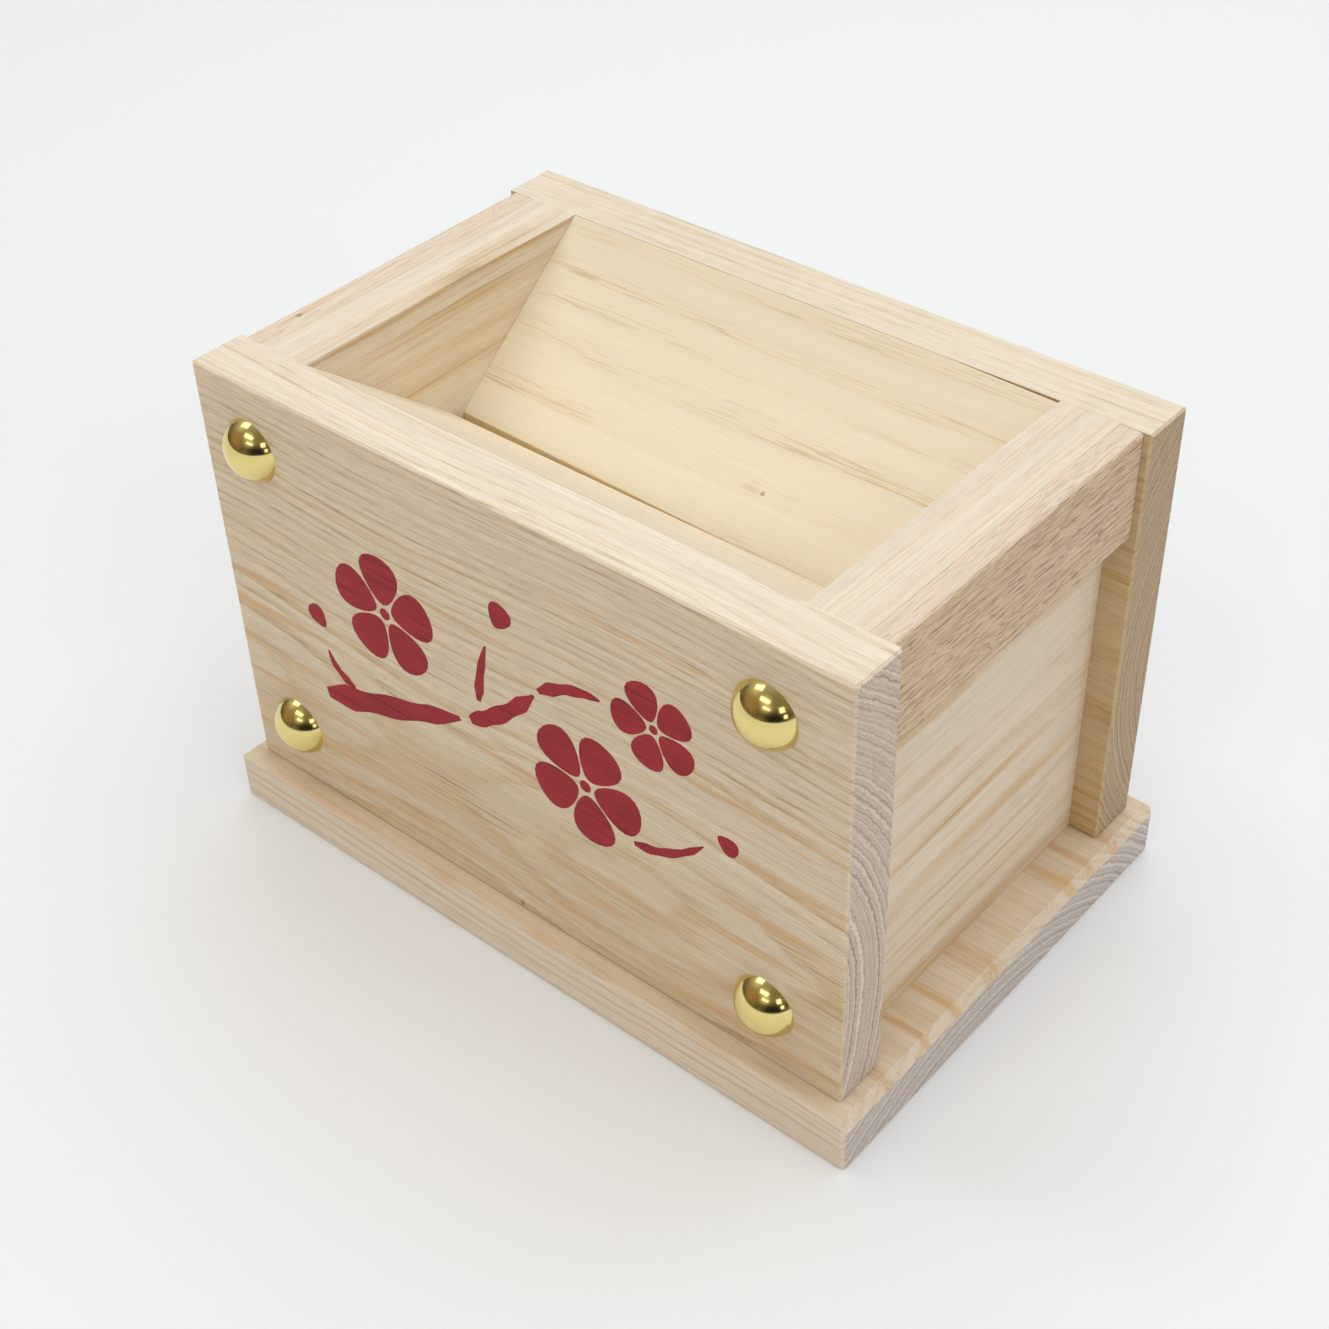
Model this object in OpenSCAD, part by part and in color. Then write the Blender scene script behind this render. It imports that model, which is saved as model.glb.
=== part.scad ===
// Small wooden offertory box: an open hopper over a coin chute, with a drawer at the back.
// Frame: origin at the centre of the base's underside, +Z up, front towards -Y, millimetres.

/* [Body] */
// Length of the front and back panels
panel_len = 190; // [160:1:260]
// Height of the upright panels
panel_h = 120; // [114:1:170]
// Thickness of the boards of the body
board_t = 15; // [13:0.5:20]
// Length of the side panels, front to back
side_len = 92; // [84:1:140]
// Distance from the end of a panel in to the side panel's outer face
side_inset = 8; // [7:0.5:16]
// Easing of the outer edges of the boards
ease = 0.6; // [0.3:0.1:1.2]

/* [Side strips] */
// Thickness of the strip along the top of each side
strip_t = 6; // [3:0.5:7]
// Height of the strip
strip_h = 28; // [15:1:50]

/* [Base] */
// Thickness of the base board
base_t = 15; // [13:0.5:20]
// How far the base stands out past the body all round
base_margin = 5; // [3:0.5:15]
// Chamfer along the top of the base's ends
base_end_chamfer = 2.3; // [1:0.1:2.8]
// Chamfer along the other long edges of the base
base_side_chamfer = 0.8; // [0.4:0.1:1.5]
// Radius of the base's upright corners
base_corner_r = 1.6; // [0.8:0.1:2.5]

/* [Coin chute] */
// Thickness of the two sloping boards
chute_t = 6; // [4:0.5:8]
// Slope of the two boards
chute_angle = 39; // [33:0.5:43]
// Length of the rear board down its slope, where it turns about the rim
rear_board_len = 60.1; // [50:0.1:64]
// Turn of the rear board in its own plane, which lowers its right end
rear_board_turn = 1.1; // [0:0.1:2.4]
// Distance right of the middle of the point on the rim that the rear board turns about
rear_board_pivot = 44; // [0:1:60]
// Width of the coin slot, seen from above; the front board's lip runs parallel to the rear board's
slot_w = 4.6; // [4.2:0.1:8]
// Side of the square cleats glued under the ends of the sloping boards
cleat_side = 8; // [5:0.5:9]
// Clearance between a cleat and the panel that it runs up to
cleat_clear = 1.3; // [0.5:0.1:6]

/* [Dome nails] */
// Diameter of a brass dome head
nail_head_d = 16.4; // [10:0.1:22]
// Height of a dome head above the panel
nail_head_h = 5.9; // [3:0.1:6.5]
// Thickness of the pressed brass of a dome head
nail_wall = 1; // [0.6:0.1:1.4]
// Diameter of a nail's shank
nail_shank_d = 2; // [1.4:0.1:3]
// Depth that a nail goes into the panel
nail_depth = 10; // [6:0.5:11]
// Distance of the left pair of nails from the panel's left end
nail_left_in = 17; // [14:0.5:30]
// Distance of the right pair of nails from the panel's right end
nail_right_in = 21.4; // [14:0.2:30]
// Distance of the upper nails from the panel's top edge
nail_top_in = 18; // [12:0.5:25]
// Distance of the lower nails from the panel's bottom edge
nail_bottom_in = 17.5; // [12:0.5:25]

/* [Dowels and screws] */
// Diameter of the hidden corner dowels
dowel_d = 6; // [4:0.5:8]
// Depth of a dowel in the front or back panel
dowel_panel_depth = 9; // [6:0.5:10]
// Depth of a dowel in the end of a side panel
dowel_side_depth = 18; // [12:1:20]
// Distance between the two dowels of a corner
dowel_pitch = 44; // [30:1:56]
// Shank diameter of the base screws
screw_d = 3.5; // [3:0.5:4.5]
// Head diameter of the base screws
screw_head_d = 7.4; // [6:0.2:9]
// Length of the base screws
screw_len = 34; // [26:1:36]
// Distance between the two base screws under one side panel
screw_pitch = 50; // [30:1:64]
// Depth of a screw head below the underside of the base
screw_sink = 0.8; // [0.4:0.1:2]

/* [Drawer] */
// Height of the drawer's opening in the back panel
drawer_open_h = 62; // [50:1:64]
// Height of the drawer's sides
drawer_side_h = 50; // [30:1:52]
// Thickness of the drawer's sides and inner end
drawer_side_t = 6; // [5:0.5:8]
// Thickness of the drawer's bottom panel
drawer_bottom_t = 3; // [2:0.5:4]
// Height of the grooves above the lower edge of the drawer's sides
drawer_groove_up = 4; // [3:0.5:6]
// Depth of the grooves that hold the bottom panel
drawer_groove_depth = 3; // [2:0.5:4]
// Running clearance at each side of the drawer and above its front
drawer_clear = 0.5; // [0.3:0.1:1]
// Running clearance under the drawer
drawer_lift = 0.3; // [0.2:0.1:0.6]
// Front-to-back size of the stop that the closed drawer meets
stop_t = 6; // [4:0.5:8]
// Length of the stop
stop_len = 60; // [30:1:100]
// Height of the stop
stop_h = 10; // [6:0.5:14]
// Gap between the stop and the closed drawer
stop_gap = 0.3; // [0.2:0.1:0.6]

/* [Drawer knob] */
// Diameter of the knob's round head
knob_d = 12; // [9:0.5:16]
// Diameter of the foot that seats on the drawer front
knob_foot_d = 9; // [8:0.5:12]
// Thickness of the foot
knob_foot_t = 1.5; // [1:0.1:2.5]
// Diameter of the knob's neck
knob_neck_d = 6.4; // [6:0.1:8]
// Distance that the knob stands out from the drawer front
knob_out = 13; // [11.5:0.5:16]
// Shank diameter of the screw that holds the knob
knob_screw_d = 3.5; // [3:0.5:4]
// Depth of that screw in the knob
knob_screw_depth = 6.5; // [4:0.5:7]

/* [Hidden] */
$fn = 64;
LEFT = -1;
RIGHT = 1;
FRONT = -1;
BACK = 1;
UPPER = 1;
LOWER = -1;
SQUARE_CUT = 0;
// Radial clearance of a dowel, nail or screw in its hole
fit_clear = 0.05;
// Overshoot of a cutting solid past the face that it opens
cut = 1;

// Body
inner_w = panel_len - 2 * (side_inset + board_t);
side_mid_x = panel_len / 2 - side_inset - board_t / 2;
side_outer_x = panel_len / 2 - side_inset;
inner_y = side_len / 2;
outer_y = side_len / 2 + board_t;
top_z = base_t + panel_h;
mid_z = base_t + panel_h / 2;

// Base
base_len = panel_len + 2 * base_margin;
base_depth = 2 * (outer_y + base_margin);

// Coin chute: a run is a level distance in from the rim
chute_plumb_t = chute_t / cos(chute_angle);
function slope_z(run) = top_z - run * tan(chute_angle);
function rear_turn_run(x) = (x - rear_board_pivot) * tan(rear_board_turn) * cos(chute_angle);
function rear_lip_run(x) = rear_board_len * cos(chute_angle) + rear_turn_run(x);
function front_lip_run(x) = 2 * inner_y - rear_lip_run(x) - slot_w;
// Distance along the slope from either end of a sloping board to the end of its cleat
cleat_end_in = cleat_side * tan(chute_angle) + cleat_clear / cos(chute_angle);

// Nails
nail_sphere_r = (pow(nail_head_d / 2, 2) + pow(nail_head_h, 2)) / (2 * nail_head_h);

// Drawer
drawer_w = inner_w - 2 * drawer_clear;
drawer_z = base_t + drawer_lift;
drawer_front_h = drawer_open_h - drawer_lift - drawer_clear;
drawer_tail_y = -inner_y + stop_t + stop_gap;
drawer_side_len = inner_y - drawer_tail_y;
drawer_inner_w = drawer_w - 2 * drawer_side_t;
drawer_bottom_z = drawer_z + drawer_groove_up;
drawer_bottom_w = drawer_inner_w + 2 * drawer_groove_depth;
knob_z = drawer_z + drawer_front_h / 2;

// Colours of the woods and metals
ASH = [0.87, 0.79, 0.66];
ASH_SHADE = [0.83, 0.74, 0.60];
REDDISH = [0.78, 0.62, 0.50];
BOARD = [0.90, 0.81, 0.63];
DOWEL = [0.80, 0.66, 0.46];
BRASS = [0.86, 0.70, 0.30];
STEEL = [0.70, 0.70, 0.72];

// ---------- helpers ----------

// Rectangle about its centre; corners are given from the lower left, anticlockwise
module cut_rect(w, h, corners) {
    a = corners[0];
    b = corners[1];
    c = corners[2];
    d = corners[3];
    polygon([[-w / 2, -h / 2 + a], [-w / 2 + a, -h / 2], [w / 2 - b, -h / 2], [w / 2, -h / 2 + b],
             [w / 2, h / 2 - c], [w / 2 - c, h / 2], [-w / 2 + d, h / 2], [-w / 2, h / 2 - d]]);
}

// Extrude a YZ outline along X, centred on the YZ plane
module along_x(len) rotate([90, 0, 90]) linear_extrude(height = len, center = true) children();

// Extrude an XZ outline along Y, centred on the XZ plane
module along_y(len) rotate([90, 0, 0]) linear_extrude(height = len, center = true) children();

// Hole or pin along Y, from y0 to y1
module rod_y(d, x, y0, y1, z) translate([x, y0, z]) rotate([-90, 0, 0]) cylinder(d = d, h = y1 - y0);

// Board across the box, with its length along X: all edges eased apart from the one that
// meets the chute, at the top of its inner face
module cross_board(facing) {
    inner_top = [ease, ease, facing == FRONT ? 0 : ease, facing == FRONT ? ease : 0];
    intersection() {
        along_x(panel_len) cut_rect(board_t, panel_h, inner_top);
        along_y(board_t) cut_rect(panel_len, panel_h, [ease, ease, ease, ease]);
        linear_extrude(height = panel_h, center = true) cut_rect(panel_len, board_t, [ease, ease, ease, ease]);
    }
}

// Blind dowel holes of both corners of a cross board or of both ends of a side panel
module dowel_rods(facing, d, panel_depth, side_depth) {
    y_out = facing * (inner_y + panel_depth);
    y_in = facing * (inner_y - side_depth);
    for (side = [LEFT, RIGHT], level = [LOWER, UPPER])
        rod_y(d, side * side_mid_x, min(y_out, y_in), max(y_out, y_in), mid_z + level * dowel_pitch / 2);
}

// Places its children at each base screw, on the underside of the base
module at_base_screws() {
    for (side = [LEFT, RIGHT], end = [FRONT, BACK])
        translate([side * side_mid_x, end * screw_pitch / 2, 0]) children();
}

// Countersunk shape from the underside up: the head's cone and the shank
module screw_shape(head_d, shank_d, sink, len) {
    cone_h = (head_d - shank_d) / 2;
    translate([0, 0, sink]) cylinder(d1 = head_d, d2 = shank_d, h = cone_h);
    translate([0, 0, sink]) cylinder(d = shank_d, h = len);
}

// Rounded rectangle made of true arcs
module round_rect(w, h, r) {
    square([w - 2 * r, h], center = true);
    square([w, h - 2 * r], center = true);
    for (sx = [-1, 1], sy = [-1, 1])
        translate([sx * (w / 2 - r), sy * (h / 2 - r)]) circle(r = r);
}

function nail_x(side) = side == LEFT ? -panel_len / 2 + nail_left_in : panel_len / 2 - nail_right_in;
function nail_z(level) = level == UPPER ? top_z - nail_top_in : base_t + nail_bottom_in;

// ---------- body ----------

module base_board() {
    c = base_side_chamfer;
    e = base_end_chamfer;
    color(ASH) difference() {
        translate([0, 0, base_t / 2]) intersection() {
            linear_extrude(height = base_t, center = true) round_rect(base_len, base_depth, base_corner_r);
            along_x(base_len) cut_rect(base_depth, base_t, [c, c, c, c]);
            along_y(base_depth) cut_rect(base_len, base_t, [c, c, e, e]);
        }
        at_base_screws() {
            screw_shape(screw_head_d + 2 * fit_clear, screw_d + 2 * fit_clear, screw_sink, base_t + cut);
            translate([0, 0, -cut]) cylinder(d = screw_head_d + 2 * fit_clear, h = cut + screw_sink);
        }
    }
}

module front_panel() {
    color(ASH) difference() {
        translate([0, -inner_y - board_t / 2, mid_z]) cross_board(FRONT);
        dowel_rods(FRONT, dowel_d + 2 * fit_clear, dowel_panel_depth + 1, cut);
        for (side = [LEFT, RIGHT], level = [LOWER, UPPER])
            rod_y(nail_shank_d + 2 * fit_clear, nail_x(side), -outer_y - cut, -outer_y + nail_depth + 1, nail_z(level));
    }
}

// The drawer's opening leaves two legs and a rail above
module back_panel() {
    color(ASH) difference() {
        translate([0, inner_y + board_t / 2, mid_z]) cross_board(BACK);
        dowel_rods(BACK, dowel_d + 2 * fit_clear, dowel_panel_depth + 1, cut);
        translate([-inner_w / 2, inner_y - cut, base_t - cut])
            cube([inner_w, board_t + 2 * cut, drawer_open_h + cut]);
    }
}

module side_panel(side) {
    color(ASH_SHADE) difference() {
        translate([side * side_mid_x, 0, mid_z]) along_y(side_len)
            cut_rect(board_t, panel_h, [SQUARE_CUT, SQUARE_CUT, SQUARE_CUT, SQUARE_CUT]);
        for (facing = [FRONT, BACK])
            dowel_rods(facing, dowel_d + 2 * fit_clear, cut, dowel_side_depth + 1);
        at_base_screws() cylinder(d = screw_d + 2 * fit_clear, h = screw_sink + screw_len + 1);
    }
}

module side_strip(side) {
    x = side * (side_outer_x + strip_t / 2);
    outer = side == RIGHT ? [SQUARE_CUT, ease, ease, SQUARE_CUT] : [ease, SQUARE_CUT, SQUARE_CUT, ease];
    color(REDDISH) translate([x, 0, top_z - strip_h / 2]) along_y(side_len) cut_rect(strip_t, strip_h, outer);
}

// ---------- coin chute ----------

// Sloping board, cut plumb along its plan: a slab from rim to rim, kept inside the plan's outline
module chute_board(facing) {
    rim = facing * inner_y;
    far_z = slope_z(2 * inner_y);
    color(BOARD) intersection() {
        along_x(inner_w)
            polygon([[rim, top_z], [-rim, far_z], [-rim, far_z - chute_plumb_t], [rim, top_z - chute_plumb_t]]);
        linear_extrude(height = top_z + cut) children();
    }
}

// Plan of the front board: square at the rim, its lip cut to follow the rear board's
module front_board_plan() {
    left = -inner_w / 2;
    right = inner_w / 2;
    polygon([[left, -inner_y], [right, -inner_y], [right, -inner_y + front_lip_run(right)],
             [left, -inner_y + front_lip_run(left)]]);
}

// Plan of the rear board: turned, with the corner that would stand above the rim cut flush
module rear_board_plan() {
    left = -inner_w / 2;
    right = inner_w / 2;
    polygon([[left, inner_y - rear_lip_run(left)], [right, inner_y - rear_lip_run(right)],
             [right, inner_y - rear_turn_run(right)], [rear_board_pivot, inner_y], [left, inner_y]]);
}

// Square cleat on the side panel, along the underside of a sloping board
module chute_cleat(facing, side) {
    end_x = side * inner_w / 2;
    lip_run = facing == FRONT ? front_lip_run(end_x) : rear_lip_run(end_x);
    mid_run = lip_run / 2;
    len = lip_run / cos(chute_angle) - 2 * cleat_end_in;
    board_z = slope_z(mid_run) - chute_plumb_t;
    color(BOARD) translate([side * (inner_w - cleat_side) / 2, facing * (inner_y - mid_run), board_z])
        rotate([facing * chute_angle, 0, 0])
            translate([-cleat_side / 2, -len / 2, -cleat_side]) cube([cleat_side, len, cleat_side]);
}

// ---------- fasteners ----------

// Brass nail with a pressed dome head and a pointed shank
module dome_nail(side, level) {
    tip = nail_shank_d * 1.5;
    color(BRASS) translate([nail_x(side), -outer_y, nail_z(level)]) rotate([90, 0, 0]) {
        difference() {
            translate([0, 0, nail_head_h - nail_sphere_r]) sphere(r = nail_sphere_r);
            translate([0, 0, nail_head_h - nail_sphere_r]) sphere(r = nail_sphere_r - nail_wall);
            translate([0, 0, -2 * nail_sphere_r]) cylinder(r = 2 * nail_sphere_r, h = 2 * nail_sphere_r);
        }
        translate([0, 0, tip - nail_depth]) cylinder(d = nail_shank_d, h = nail_depth - tip + nail_head_h - nail_wall / 2);
        translate([0, 0, -nail_depth]) cylinder(d1 = 0.2, d2 = nail_shank_d, h = tip);
    }
}

module corner_dowels(facing) {
    color(DOWEL) dowel_rods(facing, dowel_d, dowel_panel_depth, dowel_side_depth);
}

// Countersunk wood screws with a cross recess
module base_screws() {
    recess = screw_head_d * 0.55;
    blade = screw_head_d * 0.14;
    tip = 5;
    color(STEEL) at_base_screws() difference() {
        union() {
            screw_shape(screw_head_d, screw_d, screw_sink, screw_len - tip);
            translate([0, 0, screw_sink + screw_len - tip]) cylinder(d1 = screw_d, d2 = 0.4, h = tip);
        }
        for (turn = [0, 90])
            rotate([0, 0, turn]) translate([-recess / 2, -blade / 2, screw_sink - cut])
                cube([recess, blade, cut + screw_head_d * 0.2]);
    }
}

// ---------- drawer ----------

module drawer_stop() {
    color(DOWEL) translate([-stop_len / 2, -inner_y, base_t]) cube([stop_len, stop_t, stop_h]);
}

module drawer_front() {
    e = ease;
    color(ASH) difference() {
        translate([0, inner_y + board_t / 2, drawer_z + drawer_front_h / 2]) intersection() {
            along_x(drawer_w) cut_rect(board_t, drawer_front_h, [SQUARE_CUT, e, e, SQUARE_CUT]);
            linear_extrude(height = drawer_front_h, center = true)
                cut_rect(drawer_w, board_t, [SQUARE_CUT, SQUARE_CUT, e, e]);
        }
        translate([-drawer_bottom_w / 2, inner_y - cut, drawer_bottom_z])
            cube([drawer_bottom_w, cut + drawer_groove_depth, drawer_bottom_t]);
        rod_y(knob_screw_d + 2 * fit_clear, 0, inner_y - cut, outer_y + cut, knob_z);
    }
}

module drawer_side(side) {
    color(BOARD) difference() {
        translate([side * (drawer_w - drawer_side_t) / 2, drawer_tail_y + drawer_side_len / 2,
                   drawer_z + drawer_side_h / 2])
            cube([drawer_side_t, drawer_side_len, drawer_side_h], center = true);
        translate([-drawer_bottom_w / 2, drawer_tail_y - cut, drawer_bottom_z])
            cube([drawer_bottom_w, drawer_side_len + 2 * cut, drawer_bottom_t]);
    }
}

// Stands on the bottom panel, between the sides
module drawer_inner_end() {
    z = drawer_bottom_z + drawer_bottom_t;
    color(BOARD) translate([-drawer_inner_w / 2, drawer_tail_y, z])
        cube([drawer_inner_w, drawer_side_t, drawer_z + drawer_side_h - z]);
}

module drawer_bottom() {
    color(BOARD) translate([-drawer_bottom_w / 2, drawer_tail_y, drawer_bottom_z])
        cube([drawer_bottom_w, drawer_side_len + drawer_groove_depth, drawer_bottom_t]);
}

// Turned knob: foot, waisted neck and a flattened round head
module drawer_knob() {
    head_r = knob_d / 2;
    head_half = head_r * 0.62;
    head_mid = knob_out - head_half;
    neck_angle = asin(knob_neck_d / knob_d);
    steps = 16;
    foot = [[0, 0], [knob_foot_d / 2, 0], [knob_foot_d / 2, knob_foot_t], [knob_neck_d / 2, knob_foot_t + 0.8]];
    head = [for (i = [0 : steps]) let (a = neck_angle + i * (180 - neck_angle) / steps)
            [head_r * sin(a), head_mid - head_half * cos(a)]];
    color(BRASS) translate([0, outer_y, knob_z]) rotate([-90, 0, 0]) difference() {
        rotate_extrude() polygon(concat(foot, head));
        translate([0, 0, -cut]) cylinder(d = knob_screw_d + 2 * fit_clear, h = cut + knob_screw_depth + 0.5);
    }
}

module drawer_knob_screw() {
    head_d = knob_screw_d * 2;
    head_t = knob_screw_d * 0.6;
    slot = knob_screw_d * 0.25;
    color(STEEL) difference() {
        union() {
            rod_y(head_d, 0, inner_y - head_t, inner_y, knob_z);
            rod_y(knob_screw_d, 0, inner_y - head_t, outer_y + knob_screw_depth, knob_z);
        }
        for (turn = [0, 90])
            translate([0, inner_y - head_t, knob_z]) rotate([0, turn, 0])
                cube([head_d * 0.6, head_t, slot], center = true);
    }
}

// ---------- drawing ----------

base_board();
front_panel();
back_panel();
side_panel(LEFT);  // left_side_panel
side_panel(RIGHT);  // right_side_panel
side_strip(LEFT);  // left_side_strip
side_strip(RIGHT);  // right_side_strip
chute_board(FRONT) front_board_plan();  // front_chute_board
chute_board(BACK) rear_board_plan();  // rear_chute_board
chute_cleat(FRONT, LEFT);  // front_left_chute_cleat
chute_cleat(FRONT, RIGHT);  // front_right_chute_cleat
chute_cleat(BACK, LEFT);  // rear_left_chute_cleat
chute_cleat(BACK, RIGHT);  // rear_right_chute_cleat
dome_nail(LEFT, UPPER);  // upper_left_dome_nail
dome_nail(LEFT, LOWER);  // lower_left_dome_nail
dome_nail(RIGHT, UPPER);  // upper_right_dome_nail
dome_nail(RIGHT, LOWER);  // lower_right_dome_nail
corner_dowels(FRONT);  // front_corner_dowels
corner_dowels(BACK);  // rear_corner_dowels
base_screws();
drawer_stop();
drawer_front();
drawer_side(LEFT);  // drawer_left_side
drawer_side(RIGHT);  // drawer_right_side
drawer_inner_end();
drawer_bottom();
drawer_knob();
drawer_knob_screw();
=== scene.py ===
"""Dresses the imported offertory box: woods, brass, a painted blossom sprig, studio floor and lamps."""
from math import atan2, cos, pi, radians, sin

import bmesh
import bpy
from mathutils import Matrix, Vector


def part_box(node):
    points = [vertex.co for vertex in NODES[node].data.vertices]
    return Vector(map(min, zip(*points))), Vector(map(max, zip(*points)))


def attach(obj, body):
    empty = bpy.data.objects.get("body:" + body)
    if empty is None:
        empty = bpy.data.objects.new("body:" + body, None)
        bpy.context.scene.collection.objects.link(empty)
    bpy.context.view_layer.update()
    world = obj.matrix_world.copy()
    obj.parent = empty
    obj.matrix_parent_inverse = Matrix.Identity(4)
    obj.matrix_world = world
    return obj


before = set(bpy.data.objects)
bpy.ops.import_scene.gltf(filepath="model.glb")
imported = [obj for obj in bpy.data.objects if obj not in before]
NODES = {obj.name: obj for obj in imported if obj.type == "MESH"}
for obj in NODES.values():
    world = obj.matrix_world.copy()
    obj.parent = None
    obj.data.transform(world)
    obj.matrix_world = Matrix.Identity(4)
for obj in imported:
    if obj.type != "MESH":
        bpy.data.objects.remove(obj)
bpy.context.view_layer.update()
MM = 0.001

X_AXIS = Vector((1, 0, 0))
Y_AXIS = Vector((0, 1, 0))
Z_AXIS = Vector((0, 0, 1))
WHITE = (1.0, 1.0, 1.0)


def direction(azimuth, elevation):
    """Unit vector towards a place in the room: azimuth 0 is straight in front of the box, + to its right."""
    a, e = radians(azimuth), radians(elevation)
    return Vector((sin(a) * cos(e), -cos(a) * cos(e), sin(e)))


# ---------- camera ----------

# Place in metres, angles in degrees, lens and sensor in mm
CAMERA_AT = Vector((0.26645, -0.30829, 0.38738))
CAMERA_AZIMUTH = 41.489
CAMERA_ELEVATION = 39.356
CAMERA_ROLL = -2.035
CAMERA_LENS = 57.285
CAMERA_SENSOR = 36.0


def add_camera():
    back = direction(CAMERA_AZIMUTH, CAMERA_ELEVATION)
    right = Z_AXIS.cross(back).normalized()
    up = back.cross(right)
    turn = Matrix((right, up, back)).transposed().to_4x4()
    data = bpy.data.cameras.new("camera")
    data.lens = CAMERA_LENS
    data.sensor_width = CAMERA_SENSOR
    data.sensor_fit = "HORIZONTAL"
    data.clip_start = 0.01
    camera = bpy.data.objects.new("camera", data)
    camera.matrix_world = Matrix.Translation(CAMERA_AT) @ turn @ Matrix.Rotation(radians(CAMERA_ROLL), 4, "Z")
    bpy.context.scene.collection.objects.link(camera)
    bpy.context.scene.camera = camera


# ---------- shader helpers ----------

class Shader:
    """Short ways to add nodes to a node tree. A value may be a number, a tuple or a socket."""

    def __init__(self, owner):
        owner.use_nodes = True
        self.owner = owner
        self.tree = owner.node_tree
        self.surface = self.tree.nodes.get("Principled BSDF")

    def feed(self, socket, value):
        if isinstance(value, bpy.types.NodeSocket):
            self.tree.links.new(value, socket)
        elif hasattr(socket.default_value, "__len__") and len(socket.default_value) == 4 and len(value) == 3:
            socket.default_value = (*value, 1.0)
        else:
            socket.default_value = value

    def math(self, operation, a, b=0.0, c=0.0):
        node = self.tree.nodes.new("ShaderNodeMath")
        node.operation = operation
        for socket, value in zip(node.inputs, (a, b, c)):
            self.feed(socket, value)
        return node.outputs[0]

    def add(self, a, b):
        return self.math("ADD", a, b)

    def sub(self, a, b):
        return self.math("SUBTRACT", a, b)

    def mul(self, *values):
        product = values[0]
        for value in values[1:]:
            product = self.math("MULTIPLY", product, value)
        return product

    def ramp(self, value, low, high):
        """low where value is 0 and high where it is 1."""
        return self.add(low, self.mul(value, high - low))

    def most(self, a, b):
        return self.math("MAXIMUM", a, b)

    def capped(self, value):
        return self.math("MINIMUM", value, 1.0)

    def step(self, value, low, high):
        """0 below low, 1 above high and smooth between; high may be the lower of the two."""
        node = self.tree.nodes.new("ShaderNodeMapRange")
        node.interpolation_type = "SMOOTHSTEP"
        self.feed(node.inputs["Value"], value)
        node.inputs["From Min"].default_value = low
        node.inputs["From Max"].default_value = high
        return node.outputs[0]

    def pulse(self, value, window):
        """1 between two steps, each given by where it starts and ends."""
        rise, fall = window
        return self.mul(self.step(value, *rise), self.step(value, *fall))

    def vector(self, operation, a, b=(0, 0, 0)):
        node = self.tree.nodes.new("ShaderNodeVectorMath")
        node.operation = operation
        self.feed(node.inputs[0], a)
        self.feed(node.inputs[1], b)
        return node.outputs["Value" if operation in ("DOT_PRODUCT", "LENGTH") else "Vector"]

    def combine(self, x, y, z):
        node = self.tree.nodes.new("ShaderNodeCombineXYZ")
        for socket, value in zip(node.inputs, (x, y, z)):
            self.feed(socket, value)
        return node.outputs[0]

    def noise(self, vector, detail=2.0, roughness=0.5):
        node = self.tree.nodes.new("ShaderNodeTexNoise")
        self.feed(node.inputs["Vector"], vector)
        node.inputs["Scale"].default_value = 1.0
        node.inputs["Detail"].default_value = detail
        node.inputs["Roughness"].default_value = roughness
        return node.outputs["Fac"]

    def stretched(self, vector, scale, detail=2.0, roughness=0.5):
        """Noise with its own scale, per mm, along each axis."""
        return self.noise(self.vector("MULTIPLY", vector, scale), detail, roughness)

    def random(self, value):
        node = self.tree.nodes.new("ShaderNodeTexWhiteNoise")
        node.noise_dimensions = "1D"
        self.feed(node.inputs["W"], value)
        return node.outputs["Value"]

    def mix(self, factor, a, b):
        node = self.tree.nodes.new("ShaderNodeMix")
        node.data_type = "RGBA"
        self.feed(node.inputs[0], factor)
        self.feed(node.inputs[6], a)
        self.feed(node.inputs[7], b)
        return node.outputs[2]

    def bright(self, colour, value):
        """colour times value."""
        node = self.tree.nodes.new("ShaderNodeVectorMath")
        node.operation = "SCALE"
        self.feed(node.inputs[0], colour)
        self.feed(node.inputs["Scale"], value)
        return node.outputs["Vector"]

    def object_place(self):
        """The point on the object, in millimetres of the shared frame at rest."""
        node = self.tree.nodes.new("ShaderNodeTexCoord")
        return self.vector("MULTIPLY", node.outputs["Object"], (1 / MM, 1 / MM, 1 / MM))

    def object_normal(self):
        return self.tree.nodes.new("ShaderNodeTexCoord").outputs["Normal"]

    def spot(self, place, centre, radii):
        """1 at the centre of an ellipsoid (mm), 0 at its rim."""
        offset = self.vector("DIVIDE", self.vector("SUBTRACT", place, centre), radii)
        return self.step(self.vector("LENGTH", offset), 1.0, 0.25)

    def bump(self, height, strength, distance):
        node = self.tree.nodes.new("ShaderNodeBump")
        self.feed(node.inputs["Height"], height)
        node.inputs["Strength"].default_value = strength
        node.inputs["Distance"].default_value = distance
        self.tree.links.new(node.outputs[0], self.surface.inputs["Normal"])

    def set(self, **values):
        for name, value in values.items():
            self.feed(self.surface.inputs[name.replace("_", " ")], value)


# ---------- woods ----------

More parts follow.
